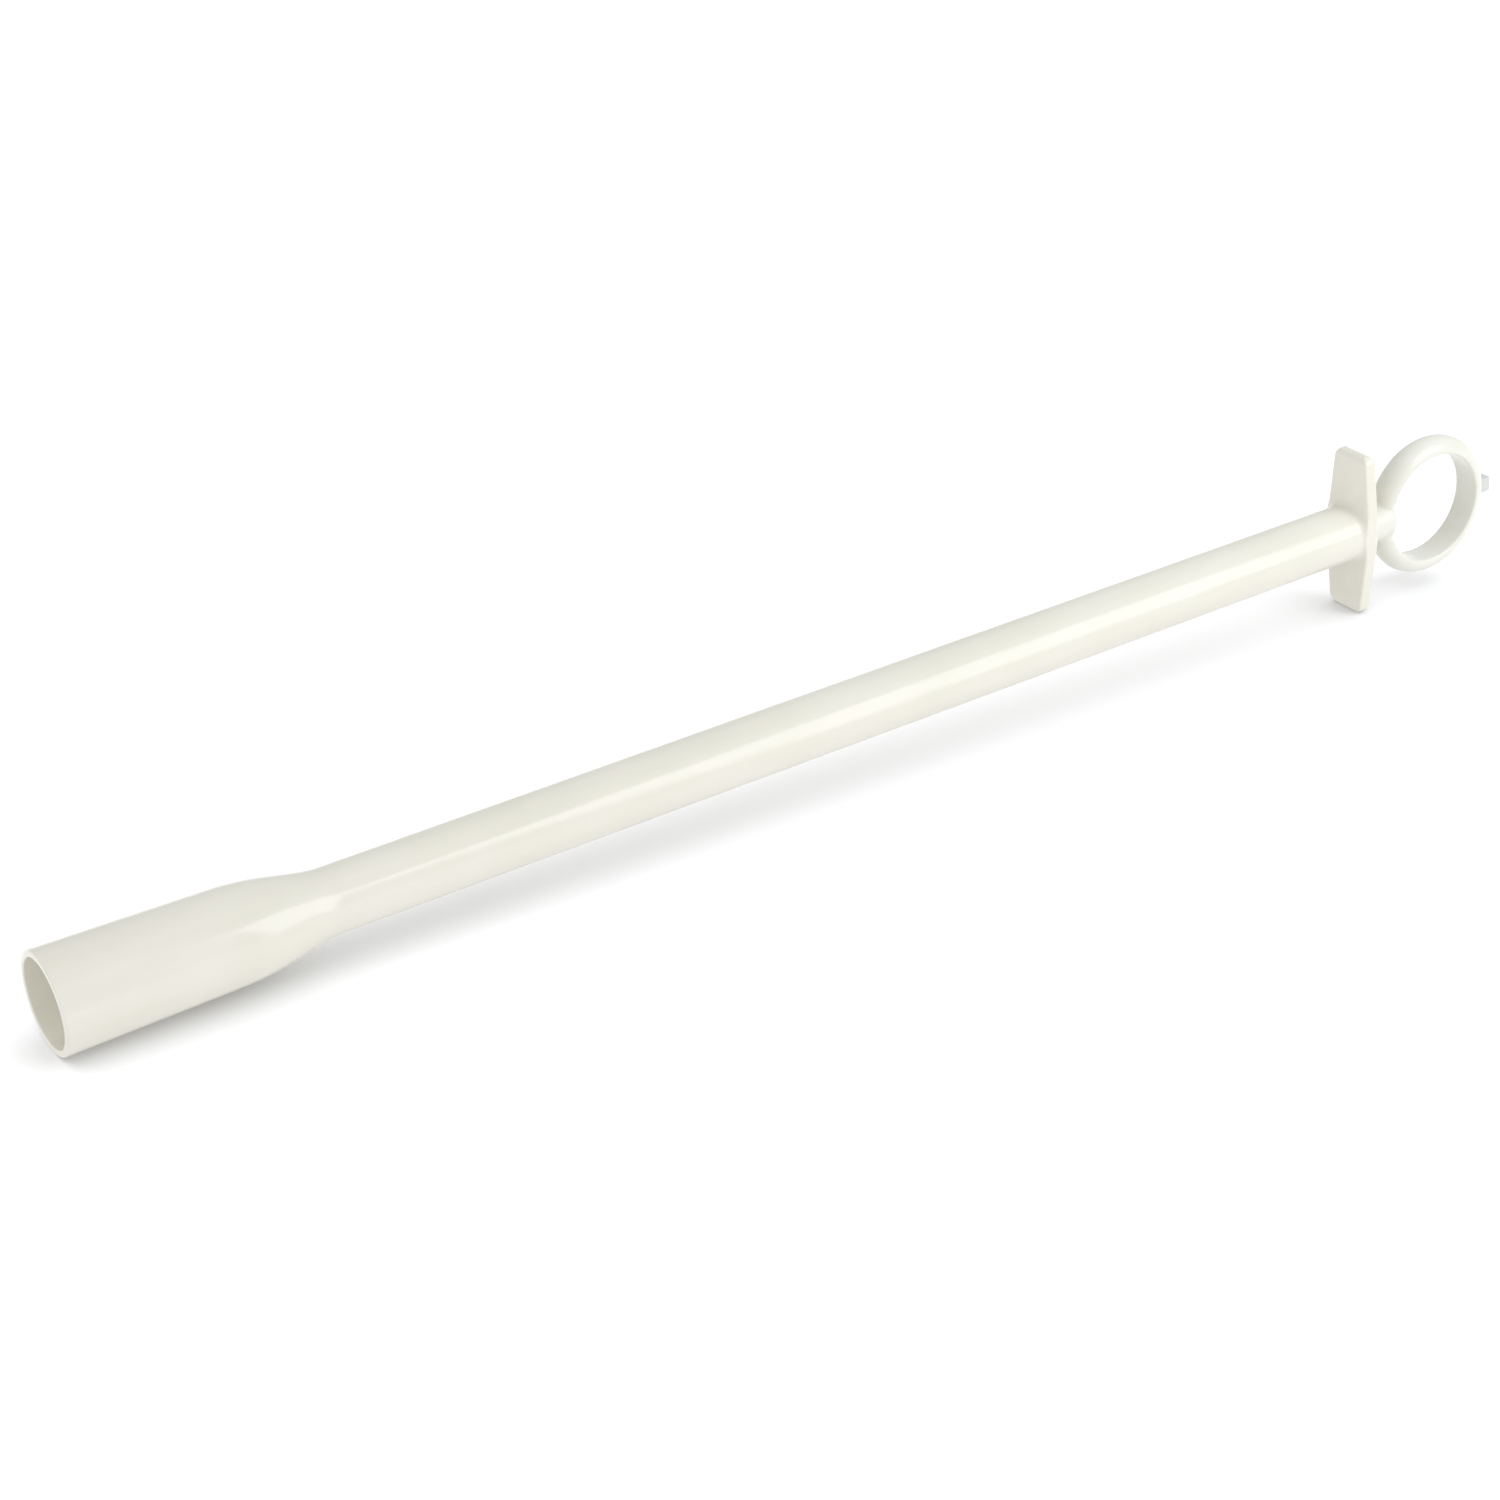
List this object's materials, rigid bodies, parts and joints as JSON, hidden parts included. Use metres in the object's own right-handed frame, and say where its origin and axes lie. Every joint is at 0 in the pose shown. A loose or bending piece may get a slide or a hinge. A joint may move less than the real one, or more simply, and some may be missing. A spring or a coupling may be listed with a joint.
{
  "type": "push-rod applicator",
  "caption": "Slim moulded applicator: an open holder cup on a tube with a finger flange, and a ring-ended plunger that pushes the load out of the cup.",
  "frame": {"origin": "centre of the mouth of the holder cup", "axes": "+X along the tube from the mouth to the finger ring, +Z along the finger flange, +Y completes the frame and is the axis of the ring"},
  "size_m": [0.1927, 0.0112, 0.0208],
  "materials": {
    "barrel_ivory": "glossy injection-moulded ivory plastic",
    "plunger_ivory": "glossy injection-moulded ivory plastic",
    "head_white": "smooth off-white plastic",
    "gate_pale": "thin, slightly translucent plastic"
  },
  "bodies": {
    "barrel": {"holder_cup": "barrel_ivory", "cup_flare": "barrel_ivory", "barrel_tube": "barrel_ivory", "finger_flange": "barrel_ivory"},
    "pusher": {"pusher_head": "head_white"},
    "plunger": {"plunger_rod": "plunger_ivory", "thumb_ring": "plunger_ivory", "gate_stub": "gate_pale"}
  },
  "joints": [
    {"name": "plunger_slide", "type": "slide", "parent": "barrel", "child": "pusher", "axis": [1, 0, 0], "range_m": [0, 0.015]},
    {"name": "plunger_spin", "type": "hinge", "parent": "pusher", "child": "plunger", "pos_m": [0.0126, 0, 0], "axis": [1, 0, 0], "continuous": true}
  ]
}
